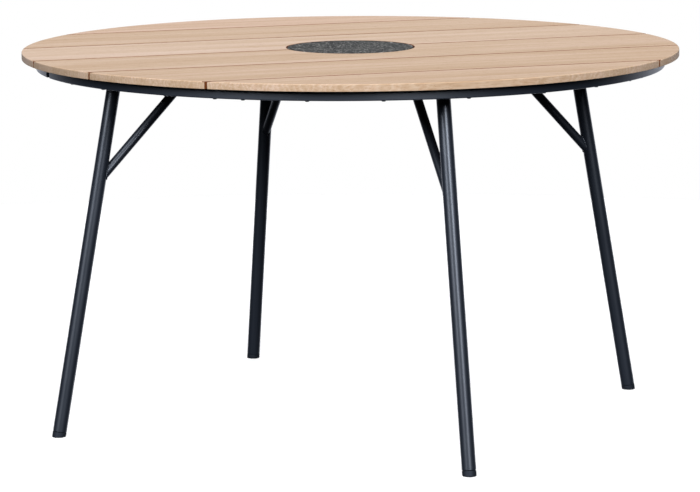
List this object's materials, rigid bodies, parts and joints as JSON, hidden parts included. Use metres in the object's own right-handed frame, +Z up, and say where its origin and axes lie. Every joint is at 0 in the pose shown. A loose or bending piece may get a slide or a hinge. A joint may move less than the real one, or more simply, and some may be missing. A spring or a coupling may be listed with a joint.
{
  "type": "garden table",
  "caption": "Round planked garden table with a flush stone inlay, a split tube underframe, splayed and braced tube legs and screw-out levelling feet.",
  "frame": {"origin": "on the floor, under the middle of the top", "axes": "+Z up; +X along the planks and the joint between the two halves of the top; -Y is the front"},
  "size_m": [1.3, 1.3, 0.74],
  "materials": {
    "plank_wood": "pale oiled hardwood, matt",
    "granite": "dark grey speckled granite, honed",
    "powder_coated_metal": "anthracite powder coat, satin",
    "black_plastic": "moulded black plastic",
    "zinc_plated_steel": "zinc plated"
  },
  "bodies": {
    "table": {"plank_1": "plank_wood", "plank_2": "plank_wood", "plank_3": "plank_wood", "plank_4": "plank_wood", "plank_5": "plank_wood", "plank_6": "plank_wood", "ring_half_front": "powder_coated_metal", "joint_bar_front": "powder_coated_metal", "centre_beam_front_left": "powder_coated_metal", "side_beam_front_left": "powder_coated_metal", "centre_beam_front_right": "powder_coated_metal", "side_beam_front_right": "powder_coated_metal", "ring_half_back": "powder_coated_metal", "joint_bar_back": "powder_coated_metal", "centre_beam_back_left": "powder_coated_metal", "side_beam_back_left": "powder_coated_metal", "centre_beam_back_right": "powder_coated_metal", "side_beam_back_right": "powder_coated_metal", "leg_plate_right": "powder_coated_metal", "leg_tube_right": "powder_coated_metal", "brace_right": "powder_coated_metal", "leg_bolt_right_1": "zinc_plated_steel", "leg_bolt_right_2": "zinc_plated_steel", "leg_bolt_right_3": "zinc_plated_steel", "leg_bolt_right_4": "zinc_plated_steel", "leg_plug_right": "black_plastic", "leg_plate_back": "powder_coated_metal", "leg_tube_back": "powder_coated_metal", "brace_back": "powder_coated_metal", "leg_bolt_back_1": "zinc_plated_steel", "leg_bolt_back_2": "zinc_plated_steel", "leg_bolt_back_3": "zinc_plated_steel", "leg_bolt_back_4": "zinc_plated_steel", "leg_plug_back": "black_plastic", "leg_plate_left": "powder_coated_metal", "leg_tube_left": "powder_coated_metal", "brace_left": "powder_coated_metal", "leg_bolt_left_1": "zinc_plated_steel", "leg_bolt_left_2": "zinc_plated_steel", "leg_bolt_left_3": "zinc_plated_steel", "leg_bolt_left_4": "zinc_plated_steel", "leg_plug_left": "black_plastic", "leg_plate_front": "powder_coated_metal", "leg_tube_front": "powder_coated_metal", "brace_front": "powder_coated_metal", "leg_bolt_front_1": "zinc_plated_steel", "leg_bolt_front_2": "zinc_plated_steel", "leg_bolt_front_3": "zinc_plated_steel", "leg_bolt_front_4": "zinc_plated_steel", "leg_plug_front": "black_plastic"},
    "stone": {"stone_disc": "granite"},
    "pad_right": {"foot_pad_right": "black_plastic"},
    "stud_right": {"levelling_stud_right": "zinc_plated_steel"},
    "pad_back": {"foot_pad_back": "black_plastic"},
    "stud_back": {"levelling_stud_back": "zinc_plated_steel"},
    "pad_left": {"foot_pad_left": "black_plastic"},
    "stud_left": {"levelling_stud_left": "zinc_plated_steel"},
    "pad_front": {"foot_pad_front": "black_plastic"},
    "stud_front": {"levelling_stud_front": "zinc_plated_steel"}
  },
  "joints": [
    {"name": "stone_lift", "type": "slide", "parent": "table", "child": "stone", "axis": [0, 0, 1], "range_m": [0, 0.02]},
    {"name": "foot_right_extend", "type": "slide", "parent": "table", "child": "pad_right", "axis": [0.1782, 0, -0.984], "range_m": [0, 0.01]},
    {"name": "foot_right_turn", "type": "hinge", "parent": "pad_right", "child": "stud_right", "pos_m": [0.61313, 0, 0.0048], "axis": [0.1782, 0, -0.984], "range_deg": [0, 2880]},
    {"name": "foot_back_extend", "type": "slide", "parent": "table", "child": "pad_back", "axis": [0, 0.1782, -0.984], "range_m": [0, 0.01]},
    {"name": "foot_back_turn", "type": "hinge", "parent": "pad_back", "child": "stud_back", "pos_m": [0, 0.61313, 0.0048], "axis": [0, 0.1782, -0.984], "range_deg": [0, 2880]},
    {"name": "foot_left_extend", "type": "slide", "parent": "table", "child": "pad_left", "axis": [-0.1782, 0, -0.984], "range_m": [0, 0.01]},
    {"name": "foot_left_turn", "type": "hinge", "parent": "pad_left", "child": "stud_left", "pos_m": [-0.61313, 0, 0.0048], "axis": [-0.1782, 0, -0.984], "range_deg": [0, 2880]},
    {"name": "foot_front_extend", "type": "slide", "parent": "table", "child": "pad_front", "axis": [0, -0.1782, -0.984], "range_m": [0, 0.01]},
    {"name": "foot_front_turn", "type": "hinge", "parent": "pad_front", "child": "stud_front", "pos_m": [0, -0.61313, 0.0048], "axis": [0, -0.1782, -0.984], "range_deg": [0, 2880]}
  ],
  "couplings": [
    {"joint": "foot_right_turn", "follows": "foot_right_extend", "rad_per_m": 5026.5},
    {"joint": "foot_back_turn", "follows": "foot_back_extend", "rad_per_m": 5026.5},
    {"joint": "foot_left_turn", "follows": "foot_left_extend", "rad_per_m": 5026.5},
    {"joint": "foot_front_turn", "follows": "foot_front_extend", "rad_per_m": 5026.5}
  ]
}
